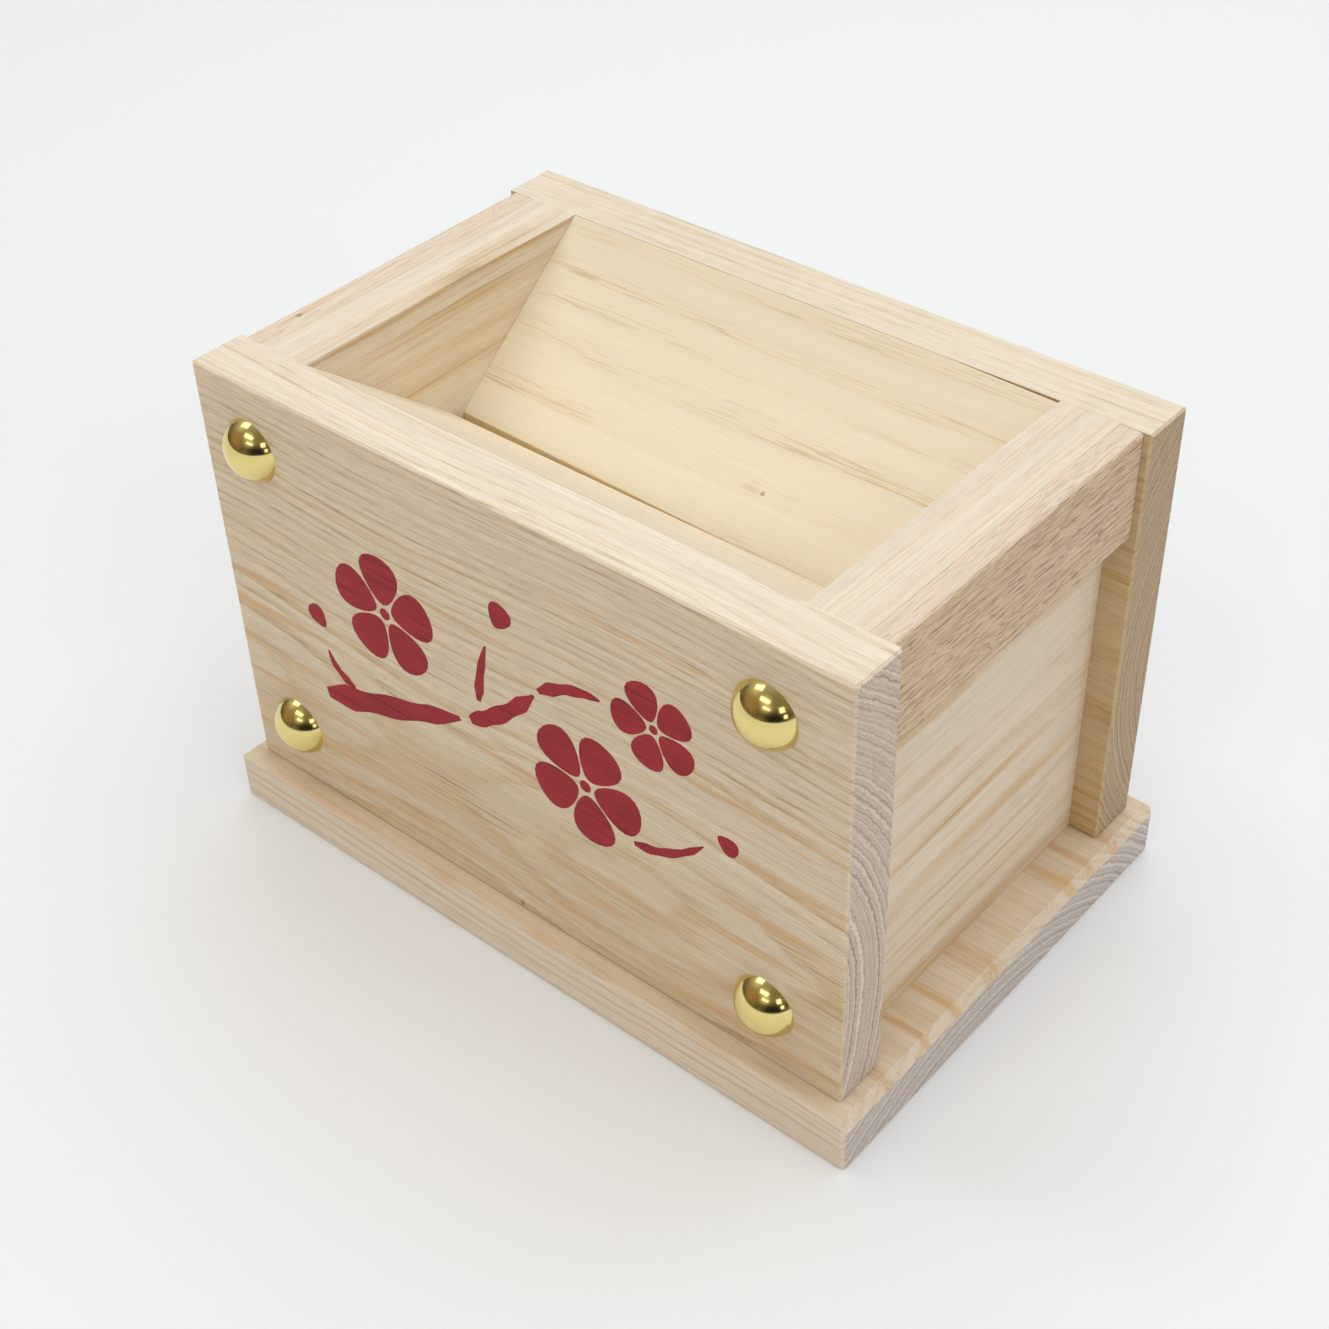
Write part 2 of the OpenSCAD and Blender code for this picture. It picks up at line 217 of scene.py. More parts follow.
# Colours. pale and blush take turns over a board. honey tints the porous early wood, and pore its pores.
# face paints light and shade: it tints all but the level faces, lighter or darker by which way they point.
# end, end_pale and end_dark are the end grain.
# Sizes in mm. ring: width of a growth ring. drift, ripple: slow and quick waves in the rings.
# wobble: how far the hairlines wander. Per mm: long and fine are the length and width of a pore.
# Strengths. band: the honey tint. line: the fine line that a ring starts with. pores, stray: open pores in
# the early wood and between. hairs: short hairlines all over. fibre, streak: fine and broad shading.
# level: how much figure the level faces keep.
ASH = {
    "pale": (0.83, 0.745, 0.61), "blush": (0.81, 0.715, 0.58), "honey": (0.75, 0.585, 0.365),
    "pore": (0.44, 0.30, 0.17), "face": (0.94, 0.89, 0.81),
    "end": (0.63, 0.55, 0.51), "end_pale": (0.85, 0.78, 0.73), "end_dark": (0.36, 0.28, 0.25),
    "ring": 2.1, "drift": 3.0, "ripple": 1.0, "wobble": 0.6, "long": 0.085, "fine": 2.5,
    "band": 1.2, "line": 0.10, "pores": 0.5, "stray": 0.18, "hairs": 0.25,
    "fibre": 0.10, "streak": 0.06, "level": 0.55,
}
FRONT_ASH = {**ASH, "pale": (0.85, 0.77, 0.635), "blush": (0.83, 0.735, 0.60), "line": 0.12}
# The face tint of BACK_ASH is painted shade: it darkens the back panel's upright faces.
BACK_ASH = {
    **ASH, "face": (0.77, 0.64, 0.45), "end": (0.58, 0.50, 0.44), "end_pale": (0.82, 0.74, 0.66),
    "ring": 1.9, "band": 1.3,
}
# The face tint of BASE_ASH is painted light: it makes the base's upright faces lighter and cooler.
BASE_ASH = {
    **ASH, "pale": (0.77, 0.64, 0.485), "blush": (0.75, 0.62, 0.47), "honey": (0.67, 0.465, 0.265),
    "face": (1.09, 1.15, 1.24),
    "end": (0.54, 0.44, 0.37), "end_pale": (0.76, 0.66, 0.57), "end_dark": (0.36, 0.27, 0.22),
    "ring": 2.8, "band": 1.0, "line": 0.08, "pores": 0.3, "stray": 0.1, "streak": 0.04, "level": 0.4,
}
SIDE_ASH = {
    **ASH, "pale": (0.81, 0.72, 0.585), "blush": (0.80, 0.70, 0.57), "honey": (0.73, 0.57, 0.36),
    "face": (1.015, 0.985, 0.95), "ring": 5.6, "drift": 5.0, "ripple": 1.6,
    "band": 0.35, "line": 0.10, "pores": 0.2, "stray": 0.08, "hairs": 0.15, "streak": 0.05, "level": 1.0,
}
STRIP_ASH = {
    **ASH, "pale": (0.81, 0.675, 0.535), "blush": (0.80, 0.66, 0.53), "honey": (0.72, 0.55, 0.38),
    "pore": (0.38, 0.25, 0.16), "face": (0.91, 0.83, 0.71),
    "ring": 1.3, "ripple": 1.6, "wobble": 2.0, "long": 0.12, "fine": 2.3,
    "band": 0.7, "pores": 0.6, "stray": 0.35, "hairs": 0.85, "level": 0.25,
}
CHUTE_WOOD = {
    **ASH, "pale": (0.86, 0.77, 0.60), "blush": (0.85, 0.755, 0.58), "honey": (0.78, 0.62, 0.39),
    "pore": (0.62, 0.45, 0.25), "face": WHITE,
    "end": (0.78, 0.60, 0.38), "end_pale": (0.84, 0.68, 0.46), "end_dark": (0.58, 0.40, 0.22),
    "ring": 9.0, "drift": 8.0, "long": 0.07, "fine": 2.6,
    "band": 0.25, "line": 0.05, "pores": 0.6, "stray": 0.06, "hairs": 0.05,
    "fibre": 0.03, "streak": 0.02, "level": 1.0,
}
PLAIN_WOOD = {
    **ASH, "pale": (0.80, 0.67, 0.48), "honey": (0.72, 0.54, 0.34), "face": WHITE,
    "ring": 4.0, "pores": 0.3,
}
DOWEL_WOOD = {**PLAIN_WOOD, "pale": (0.72, 0.56, 0.38), "ring": 1.6}

# Scales of the noises, per mm: along the grain, then across it
DRIFT_SCALE = (0.007, 0.02, 0.02)
RIPPLE_SCALE = (0.04, 0.2, 0.2)
PATCHY_SCALE = (0.012, 0.07, 0.07)
WOBBLE_SCALE = (0.10, 0.16, 0.16)
HAIR_SCALE = (0.13, 2.8, 2.8)
FIBRE_SCALE = (0.02, 2.4, 2.4)
STREAK_SCALE = (0.010, 0.42, 0.42)
BLUSH_SCALE = (0.008, 0.03, 0.03)
WANDER_SCALE = (0.035, 0.10, 0.10)
FRAY_SCALE = (0.03, 0.7, 0.7)
JAG_SCALE = (0.02, 0.9, 0.9)

# Where things lie within a ring, from 0 at its start to 1: the rise, then the fall
EARLY_WOOD = ((0.0, 0.1), (0.6, 0.12))
RING_LINE = ((0.0, 0.04), (0.16, 0.06))
END_LINE = ((0.58, 0.8), (1.0, 0.9))
END_TWIN = ((0.20, 0.30), (0.46, 0.36))
END_DARK = ((0.02, 0.1), (0.34, 0.2))

# Steps on a noise, and on the cosine between a face and an axis
PATCHY_STEP = (0.3, 0.62)
PORE_STEP = (0.54, 0.62)
END_PORE_STEP = (0.6, 0.7)
HAIR_STEP = (0.55, 0.66)
BLUSH_STEP = (0.35, 0.65)
FRAY_STEP = (0.36, 0.60)
LEVEL_STEP = (0.5, 0.9)
FRONT_STEP = (0.85, 0.95)
END_STEP = (0.75, 0.92)

# How far a seed moves a board in the noises, in mm, and in the strengths of its rings
SEED_SHIFT = (37.0, 11.0, 23.0)
SEED_STRENGTH = 0.37

# How many rings the spacing wanders by
RING_UNEVEN = 1.2

# Height, place and length in mm of the wave in rings that have none
NO_SWELL = (0.0, 0.0, 100.0)

WOOD_SPECULAR = 0.3
WOOD_BUMP = 0.25
WOOD_BUMP_DEPTH = 0.1 * MM


class Timber(Shader):
    """Solid timber: growth rings about a line through pith (mm) that runs along the grain."""

    def __init__(self, name, look, along, pith, seed, swell):
        super().__init__(bpy.data.materials.new(name))
        self.look = look
        self.along = along
        self.seed = seed
        self.place = self.object_place()
        self.normal = self.object_normal()
        self.level = self.step(self.facing(Z_AXIS), *LEVEL_STEP)
        self.kept = self.ramp(self.level, 1.0, look["level"])
        self.lay_grain(pith)
        self.grow_rings(swell)
        self.open_pores()

    def facing(self, axis):
        """Cosine between a face and an axis."""
        return self.vector("DOT_PRODUCT", self.normal, tuple(axis))

    def sway(self, scale, detail=2.0, roughness=0.5):
        """Noise about 0."""
        return self.sub(self.stretched(self.local, scale, detail, roughness), 0.5)

    def lay_grain(self, pith):
        """Finds the distance from the pith along the grain and in two directions across it."""
        across = Z_AXIS if abs(self.along.z) < 0.5 else X_AXIS
        from_pith = self.vector("SUBTRACT", self.place, tuple(pith))
        self.length = self.vector("DOT_PRODUCT", from_pith, tuple(self.along))
        self.u = self.vector("DOT_PRODUCT", from_pith, tuple(across))
        self.v = self.vector("DOT_PRODUCT", from_pith, tuple(self.along.cross(across)))
        shift = tuple(self.seed * apart for apart in SEED_SHIFT)
        self.local = self.vector("ADD", self.combine(self.length, self.u, self.v), shift)

    def grow_rings(self, swell):
        """Counts the rings outwards, and finds the early wood and the first line of each."""
        height, crest, period = swell
        wave = self.mul(self.math("COSINE", self.mul(self.sub(self.length, crest), 2 * pi / period)), height)
        self.drift = self.mul(self.sway(DRIFT_SCALE, 1.0), self.look["drift"])
        ripple = self.mul(self.sway(RIPPLE_SCALE, 1.0), self.look["ripple"])
        radius = self.math("SQRT", self.add(self.mul(self.u, self.u), self.mul(self.v, self.v)))
        waved = self.add(self.add(radius, wave), self.add(self.drift, ripple))
        even = self.math("DIVIDE", waved, self.look["ring"])
        uneven = self.noise(self.combine(self.mul(even, 0.5), self.seed, 0.0), 0.0)
        self.count = self.add(even, self.mul(uneven, RING_UNEVEN))
        whole = self.math("FLOOR", self.count)
        self.strong = self.random(self.add(whole, self.seed * SEED_STRENGTH))
        phase = self.math("FRACT", self.count)
        self.early = self.pulse(phase, EARLY_WOOD)
        self.line = self.pulse(phase, RING_LINE)

    def open_pores(self):
        """Pores in the early wood, stray ones between, and hairlines all over."""
        look = self.look
        self.patchy = self.step(self.stretched(self.local, PATCHY_SCALE), *PATCHY_STEP)
        self.vessel = self.stretched(self.local, (look["long"], look["fine"], look["fine"]), 1.0)
        amount = self.add(look["stray"], self.mul(self.early, self.patchy, look["pores"]))
        pores = self.mul(self.step(self.vessel, *PORE_STEP), amount)
        wobble = self.mul(self.sway(WOBBLE_SCALE, 1.0), look["wobble"])
        hair_place = self.vector("ADD", self.local, self.combine(0.0, wobble, wobble))
        hair = self.step(self.stretched(hair_place, HAIR_SCALE, 1.0), *HAIR_STEP)
        pores = self.most(pores, self.mul(hair, look["hairs"]))
        self.pore = self.mul(pores, self.ramp(self.kept, 0.2, 1.0))

    def side_grain(self):
        look = self.look
        blush = self.step(self.stretched(self.local, BLUSH_SCALE), *BLUSH_STEP)
        strength = self.ramp(self.strong, 0.3, 1.0)
        spread = self.ramp(self.patchy, 0.45, 1.0)
        tint = self.mul(self.early, strength, spread, self.kept, look["band"])
        line = self.mul(self.line, look["line"], self.add(0.2, self.strong))
        colour = self.mix(blush, look["pale"], look["blush"])
        colour = self.mix(self.capped(tint), colour, look["honey"])
        colour = self.mix(line, colour, look["pore"])
        return self.mix(self.capped(self.pore), colour, look["pore"])

    def patched(self, colour, patches):
        """Tints the patches, whose rims waver with the rings and fray along the grain."""
        wander = self.mul(self.sway(WANDER_SCALE), self.look["ripple"] * 1.5)
        lift = self.add(self.mul(self.drift, 0.6), wander)
        wavy = self.vector("ADD", self.place, self.combine(0.0, 0.0, lift))
        fray = self.step(self.stretched(self.local, FRAY_SCALE, 2.0, 0.6), *FRAY_STEP)
        frayed = self.ramp(fray, 0.45, 1.10)
        for centre, radii, tint, strength in patches:
            colour = self.mix(self.mul(self.spot(wavy, centre, radii), frayed, strength), colour, tint)
        return colour

    def end_grain(self):
        look = self.look
        jag = self.mul(self.sway(JAG_SCALE, 2.0, 0.6), 0.6)
        jagged = self.math("FRACT", self.add(self.count, jag))
        line = self.mul(self.pulse(jagged, END_LINE), self.ramp(self.strong, 0.35, 0.95))
        twin = self.mul(self.pulse(jagged, END_TWIN), 0.4)
        dark = self.mul(self.pulse(jagged, END_DARK), self.ramp(self.strong, 0.15, 0.80))
        pores = self.mul(self.step(self.vessel, *END_PORE_STEP), 0.25)
        colour = self.mix(self.most(line, twin), look["end"], look["end_pale"])
        colour = self.mix(dark, colour, look["end_dark"])
        return self.mix(pores, colour, look["end_dark"])

    def finish(self, patches, cut):
        colour = self.patched(self.side_grain(), patches)
        # Painted light: faces that point to the front take the lighter colour cut.
        if cut:
            colour = self.mix(self.step(self.facing(-Y_AXIS), *FRONT_STEP), colour, cut)
        end = self.step(self.math("ABSOLUTE", self.facing(self.along)), *END_STEP)
        # Painted light and shade: faces that don't point up take the face tint, lighter or darker than the
        # level faces.
        face = self.mix(self.level, self.look["face"], WHITE)
        colour = self.vector("MULTIPLY", self.mix(end, colour, self.end_grain()), face)

        fibre = self.stretched(self.local, FIBRE_SCALE, 2.0, 0.6)
        streak = self.stretched(self.local, STREAK_SCALE, 2.0, 0.55)
        fine = self.mul(self.sub(fibre, 0.5), self.look["fibre"] * 4)
        broad = self.mul(self.sub(streak, 0.5), self.kept, self.look["streak"] * 3)
        self.set(Base_Color=self.bright(colour, self.add(1.0, self.add(fine, broad))))
        self.set(Roughness=self.ramp(fibre, 0.58, 0.70))
        self.surface.inputs["Specular IOR Level"].default_value = WOOD_SPECULAR
        self.bump(self.sub(self.mul(fibre, 0.3), self.pore), WOOD_BUMP, WOOD_BUMP_DEPTH)
        return self.owner


def wood(name, look, along, pith, seed, swell=NO_SWELL, patches=(), cut=None):
    """Timber material. All places and sizes are in mm.

    swell is the height, place and length of a slow wave in the rings; patches are tinted
    ellipsoids: centre, radii, colour and strength; cut is painted light, a lighter colour for faces cut
    square to the front.
    """
    return Timber(name, look, along, pith, seed, swell).finish(patches, cut)


# Points nearer than this are joined, and edges that turn by more than this are rounded
WELD_WITHIN = 0.002 * MM
EDGE_TURN = radians(25)

# Widths of the rounding of edges, in mm
CRISP = 0.2
SOFT = 0.25
SOFTER = 0.3


def dress(node, material, edge=0.0):
    """Gives a CAD node its material and, where edge (mm) isn't 0, soft edges."""
    piece = NODES[node]
    piece.data.materials.clear()
    piece.data.materials.append(material)
    if edge:
        weld = piece.modifiers.new("weld", "WELD")
        weld.merge_threshold = WELD_WITHIN
        bevel = piece.modifiers.new("bevel", "BEVEL")
        bevel.width = edge * MM
        bevel.segments = 2
        bevel.limit_method = "ANGLE"
        bevel.angle_limit = EDGE_TURN
        bevel.harden_normals = True


def lowest(node):
    """Lowest corner of a node, in mm."""
    return Vector(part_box(node)[0]) / MM


def highest(node):
    """Highest corner of a node, in mm."""
    return Vector(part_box(node)[1]) / MM


# Faces that carry patches, in mm
FRONT_Y = lowest("front_panel").y
BASE_FRONT_Y = lowest("base_board").y
BASE_TOP = highest("base_board").z
LEFT_WALL_X = highest("left_side_panel").x
RIGHT_SIDE_X = highest("right_side_panel").x
RIGHT_STRIP_X = highest("right_side_strip").x
RIM_Z = highest("left_side_strip").z

# Colours of the patches
HONEY = (0.70, 0.52, 0.31)
BAND = (0.73, 0.51, 0.30)
CORE = (0.52, 0.37, 0.22)
STREAK = (0.40, 0.27, 0.18)
KNOT = (0.30, 0.19, 0.11)
DARK_KNOT = (0.16, 0.09, 0.06)
KNOT_HALO = (0.82, 0.74, 0.62)
FRONT_FLAME = (0.70, 0.45, 0.25)
TOP_FLAME = (0.66, 0.44, 0.24)
# Painted light: a lighter colour for the chute boards' faces that point to the front, where the slot leaves
# them in shade.
LIP_PAINTED_LIGHT = (0.94, 0.71, 0.42)

# How far into the board a band reaches, in mm
BAND_DEPTH = 9

# Bands of the front panel: x and z of the middle, half length and half thickness
FRONT_BANDS = [
    (-80, 77, 32, 1.5), (-84, 67, 34, 2.4), (-66, 54, 42, 2.0), (-74, 44, 34, 2.6), (84, 73, 26, 2.0),
    (76, 58, 30, 2.4), (66, 48, 34, 2.0), (36, 41, 26, 2.2), (26, 33, 15, 2.6), (16, 26, 13, 3.0),
    (-62, 33, 42, 2.8), (74, 32, 30, 2.8), (-40, 24, 52, 2.2), (62, 21, 40, 3.0), (0, 62, 30, 1.4),
    (-14, 98, 44, 1.0), (60, 88, 40, 1.3), (-60, 110, 40, 0.9), (30, 119, 60, 0.9),
]
# Short dark streaks of the front panel: x and z of the middle, half length
FRONT_STREAKS = [(-28, 44.4, 24), (-9, 41.2, 18), (-8, 38.6, 15), (12, 39.6, 8)]
STREAK_DEPTH = 0.6
STREAK_HALF = 0.45


def dress_front():
    warm_foot = ((10, FRONT_Y, 24), (190, 12, 52), HONEY, 0.40)
    halo = ((-2, FRONT_Y, 19), (5, 3, 2), KNOT_HALO, 0.7)
    knot = ((-1, FRONT_Y, 16.4), (0.8, 2, 2.2), KNOT, 0.7)
    streaks = [((x, FRONT_Y, z), (length, STREAK_DEPTH, STREAK_HALF), STREAK, 0.95)
               for x, z, length in FRONT_STREAKS]
    bands = [((x, FRONT_Y, z), (length, BAND_DEPTH, thickness), BAND, 0.9)
             for x, z, length, thickness in FRONT_BANDS]
    patches = [warm_foot, halo, knot, *streaks, *bands]
    front = wood("front_ash", FRONT_ASH, X_AXIS, pith=(0, -130, 44), seed=2, swell=(-1.3, 35, 130),
                 patches=patches)
    dress("front_panel", front, SOFT)


def dress_back():
    """The drawer's front is cut from the back panel, so one board gives both."""
    back = wood("back_ash", BACK_ASH, X_AXIS, pith=(0, 123, 63), seed=3)
    dress("back_panel", back, SOFT)
    dress("drawer_front", back, SOFT)


# Flames on the base board: x and half length at its front edge, y and half width at the right of its top
FRONT_FLAMES = [(-65, 34), (-25, 7), (10, 8), (62, 11)]
TOP_FLAMES = [(-49, 2.4), (-34, 2.0), (-22, 2.4), (-6.5, 5.0), (28, 3.0), (37, 2.2), (48, 3.0)]
TOP_FLAME_X = 93


def dress_base():
    flames = [((x, BASE_FRONT_Y, BASE_TOP - 0.5), (length, 3, 2.6), FRONT_FLAME, 0.6)
              for x, length in FRONT_FLAMES]
    flames += [((TOP_FLAME_X, y, BASE_TOP), (40, width, 9), TOP_FLAME, 0.9) for y, width in TOP_FLAMES]
    base = wood("base_ash", BASE_ASH, X_AXIS, pith=(0, -12, -75), seed=1, swell=(0.8, 0, 160),
                patches=flames)
    dress("base_board", base, SOFTER)


# Bands of the side panels: y and z of the middle, half length and half thickness, strength
RIGHT_BANDS = [
    (0, 68.5, 75, 2.2, 0.8), (-8, 60, 60, 2.8, 1.0), (-40, 45.8, 18, 2.6, 0.9), (10, 48.5, 62, 3.8, 1.0),
    (0, 38.5, 60, 1.5, 0.8), (0, 32, 60, 1.4, 0.8), (5, 26, 80, 2.0, 0.9), (0, 17, 90, 4.0, 0.9),
    (-40, 88, 16, 3.4, 0.8), (-20, 80, 18, 3.0, 0.8), (-25, 98, 44, 3.4, 0.8), (30, 99, 34, 5.0, 0.6),
    (46, 60, 4, 60, 0.5),
]
LEFT_BANDS = [
    (0, 134, 90, 1.6, 1.0), (10, 127.5, 80, 2.6, 0.9), (0, 111.5, 80, 2.2, 0.8), (0, 117, 90, 9, 0.35),
]
# Dark cores within the bands
RIGHT_CORES = [
    (-8, 60, 30, 0.7, 0.6), (-8, 68, 40, 0.5, 0.4), (-30, 79, 8, 0.5, 0.4), (6, 37.8, 30, 0.4, 0.5),
    (0, 31.4, 34, 0.4, 0.5), (-5, 25.4, 34, 0.5, 0.5),
]
LEFT_CORES = [(0, 134.2, 80, 0.7, 0.6), (5, 129.2, 60, 0.4, 0.6), (5, 112, 50, 0.5, 0.4)]


def side_bands(x, bands, colour):
    return [((x, y, z), (BAND_DEPTH, length, thickness), colour, strength)
            for y, z, length, thickness, strength in bands]


def dress_sides():
    left_bands = side_bands(LEFT_WALL_X, LEFT_BANDS, HONEY) + side_bands(LEFT_WALL_X, LEFT_CORES, CORE)
    right_bands = side_bands(RIGHT_SIDE_X, RIGHT_BANDS, HONEY) + side_bands(RIGHT_SIDE_X, RIGHT_CORES, CORE)
    left = wood("left_side_ash", SIDE_ASH, Y_AXIS, pith=(-30, 0, 55), seed=4, patches=left_bands)
    right = wood("right_side_ash", SIDE_ASH, Y_AXIS, pith=(127, 0, 94), seed=5, patches=right_bands)
    dress("left_side_panel", left, CRISP)
    dress("right_side_panel", right, CRISP)


def dress_strips():
    left_marks = [((-90.3, -31.6, RIM_Z), (0.9, 1.5, 3), DARK_KNOT, 1.0),
                  ((-90.6, -26, RIM_Z), (1.6, 12, 3), HONEY, 0.6)]
    right_knot = [((RIGHT_STRIP_X, 22, 110.5), (3, 2.2, 1.0), KNOT, 0.9)]
    left = wood("left_strip_ash", STRIP_ASH, Y_AXIS, pith=(-40, 0, 160), seed=6, patches=left_marks)
    right = wood("right_strip_ash", STRIP_ASH, Y_AXIS, pith=(40, 0, 160), seed=7, patches=right_knot)
    dress("left_side_strip", left, SOFT)
    dress("right_side_strip", right, SOFT)


def dress_chute():
    knot = ((16.9, 10.2, 106.0), (0.9, 1.2, 0.7), KNOT, 0.9)
    halo = ((13.5, 10.2, 106.0), (4, 2, 1), HONEY, 0.5)
    chute = wood("chute_wood", CHUTE_WOOD, X_AXIS, pith=(0, 0, 20), seed=8, patches=[knot, halo],
                 cut=LIP_PAINTED_LIGHT)
    dress("front_chute_board", chute, SOFTER)
    dress("rear_chute_board", chute, SOFTER)


def dress_inner_woods():
    plain = wood("inner_wood", PLAIN_WOOD, Y_AXIS, pith=(30, 0, -40), seed=9)
    for node in ("front_left_chute_cleat", "front_right_chute_cleat", "rear_left_chute_cleat",
                 "rear_right_chute_cleat", "drawer_left_side", "drawer_right_side"):
        dress(node, plain, SOFTER)
    cross = wood("inner_wood_across", PLAIN_WOOD, X_AXIS, pith=(0, 30, -40), seed=10)
    for node in ("drawer_stop", "drawer_inner_end"):
        dress(node, cross, SOFTER)
    dress("drawer_bottom", wood("drawer_plywood", PLAIN_WOOD, X_AXIS, pith=(0, 0, -90), seed=11))
    dowel = wood("dowel_wood", DOWEL_WOOD, Y_AXIS, pith=(79, 0, 70), seed=12)
    dress("front_corner_dowels", dowel)
    dress("rear_corner_dowels", dowel)


# ---------- painted sprig ----------

# Plum blossom sprig in brush strokes on the front panel: places are x, z in mm.
# Blossoms and buds have a place, radius and turn; twigs a start, bend and end, and widths at both ends.
PAINT_T = 0.05
BLOSSOMS = [(-38, 88, 16.5, 20), (23, 69, 16.5, -8), (44, 97, 12, 40)]
BUDS = [(-2, 101, 9, 65), (-60, 72, 8, 130), (60, 77, 7, -25)]
TWIGS = [((-64, 51), (-42, 57), (-16, 68), 7.6, 5.0), ((-12.5, 69.5), (-2, 75), (9, 88), 4.8, 3.6),
         ((10.5, 90), (20, 97), (29, 97), 3.6, 2.2), ((-53, 58), (-60, 60), (-61, 66), 3.0, 1.6),
         ((-9, 77), (-8, 86), (-5, 95), 3.0, 1.6), ((37, 60), (48, 61), (57, 71), 3.0, 1.6)]
PETALS = 5
HEART = 0.1

# Shares of a petal's radius: its middle and half its length, its half width, and how that swells outwards
PETAL_MIDDLE = 0.58
PETAL_HALF = 0.42
PETAL_WIDTH = 0.46
PETAL_FULL = 0.78
PETAL_SWELL = 0.30

# How much the edge of a brush stroke wavers, and how often along it
WAVER = 0.12
WAVES = 17

RED = (0.40, 0.028, 0.042)
DEEP_RED = (0.34, 0.024, 0.034)
WORN_RED = (0.17, 0.012, 0.016)


def petal_outline(centre, radius, angle, steps=22):
    """Drop shape that points at the centre of a blossom."""
    points = []
    for i in range(steps):
        t = 2 * pi * i / steps
        out = radius * (PETAL_MIDDLE - PETAL_HALF * cos(t))
        side = radius * PETAL_WIDTH * sin(t) * (PETAL_FULL - PETAL_SWELL * cos(t))
        points.append((centre[0] + out * cos(angle) - side * sin(angle),
                       centre[1] + out * sin(angle) + side * cos(angle)))
    return points


def dot_outline(centre, radius, steps=14):
    return [(centre[0] + radius * cos(2 * pi * i / steps), centre[1] + radius * sin(2 * pi * i / steps))
            for i in range(steps)]


def stroke_outline(start, bend, end, wide, narrow, steps=16):
    """Brush stroke along a curve, blunt where it starts and pointed where it ends."""
    left, right = [], []
    for i in range(steps + 1):
        t = i / steps
        x, z = ((1 - t) ** 2 * a + 2 * t * (1 - t) * b + t * t * c for a, b, c in zip(start, bend, end))
        dx, dz = (2 * (1 - t) * (b - a) + 2 * t * (c - b) for a, b, c in zip(start, bend, end))
        width = (wide + (narrow - wide) * t) * min(1, 0.45 + 3 * t) * min(1, 0.25 + 4 * (1 - t))
        half = width * (1 + WAVER * sin(WAVES * t + start[0])) / 2
        turn = atan2(dz, dx)
        left.append((x - half * sin(turn), z + half * cos(turn)))
        right.append((x + half * sin(turn), z - half * cos(turn)))
    return left + right[::-1]


def sprig_outlines():
    outlines = [stroke_outline(*twig) for twig in TWIGS]
    for x, z, radius, turn in BLOSSOMS:
        outlines.append(dot_outline((x, z), radius * HEART))
        for petal in range(PETALS):
            outlines.append(petal_outline((x, z), radius, radians(turn + 360 / PETALS * petal)))
    for x, z, size, turn in BUDS:
        outlines.append(petal_outline((x, z), size, radians(turn)))
    return outlines


def red_paint():
    s = Shader(bpy.data.materials.new("red_paint"))
    place = s.object_place()
    grain = s.stretched(place, (0.05, 1.5, 1.5), 2.0, 0.6)
    cloud = s.stretched(place, (0.06, 0.15, 0.15), 2.0)
    colour = s.mix(s.step(cloud, 0.3, 0.7), RED, DEEP_RED)
    colour = s.mix(s.mul(s.step(grain, 0.55, 0.66), 0.6), colour, WORN_RED)
    s.set(Base_Color=colour, Roughness=0.6)
    s.surface.inputs["Specular IOR Level"].default_value = 0.2
    s.bump(grain, 0.2, PAINT_T * MM)
    return s.owner


def add_sprig():
    face_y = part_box("front_panel")[0][1]
    mesh = bmesh.new()
    for outline in sprig_outlines():
        front, back = ([mesh.verts.new((x * MM, y, z * MM)) for x, z in outline]
                       for y in (face_y - PAINT_T * MM, face_y))
        mesh.faces.new(front)
        mesh.faces.new(back[::-1])
        for i in range(len(outline)):
            j = (i + 1) % len(outline)
            mesh.faces.new((front[i], back[i], back[j], front[j]))
    bmesh.ops.triangulate(mesh, faces=[face for face in mesh.faces if len(face.verts) > 4])
    bmesh.ops.recalc_face_normals(mesh, faces=mesh.faces)
    data = bpy.data.meshes.new("painted_sprig")
    mesh.to_mesh(data)
    mesh.free()
    sprig = bpy.data.objects.new("painted_sprig", data)
    data.materials.append(red_paint())
    bpy.context.scene.collection.objects.link(sprig)
    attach(sprig, "box")


# ---------- metals ----------

BRASS = (0.83, 0.69, 0.275)
BRASS_ROUGHNESS = 0.12
STEEL = (0.62, 0.62, 0.64)
STEEL_ROUGHNESS = 0.32
SMUDGE_SCALE = (0.25, 0.25, 0.25)


def metal(name, colour, roughness):
    s = Shader(bpy.data.materials.new(name))
    smudge = s.stretched(s.object_place(), SMUDGE_SCALE, 3.0, 0.6)
    dull = tuple(0.8 * c for c in colour)
    s.set(Base_Color=s.mix(s.mul(smudge, 0.25), colour, dull), Metallic=1.0)
    s.set(Roughness=s.ramp(smudge, roughness * 0.7, roughness * 1.3))
    return s.owner


def dress_metals():
    brass = metal("polished_brass", BRASS, BRASS_ROUGHNESS)
    for level in ("upper", "lower"):
        for side in ("left", "right"):
            dress(f"{level}_{side}_dome_nail", brass)
    dress("drawer_knob", brass)
    steel = metal("zinc_steel", STEEL, STEEL_ROUGHNESS)
    dress("base_screws", steel)
    dress("drawer_knob_screw", steel)


# ---------- studio ----------

FLOOR_COLOUR = (0.885, 0.90, 0.935)
FLOOR_HALF = 6.0
FADE_FROM = 0.65
FADE_TO = 1.6
BACKDROP = (0.895, 0.895, 0.905)

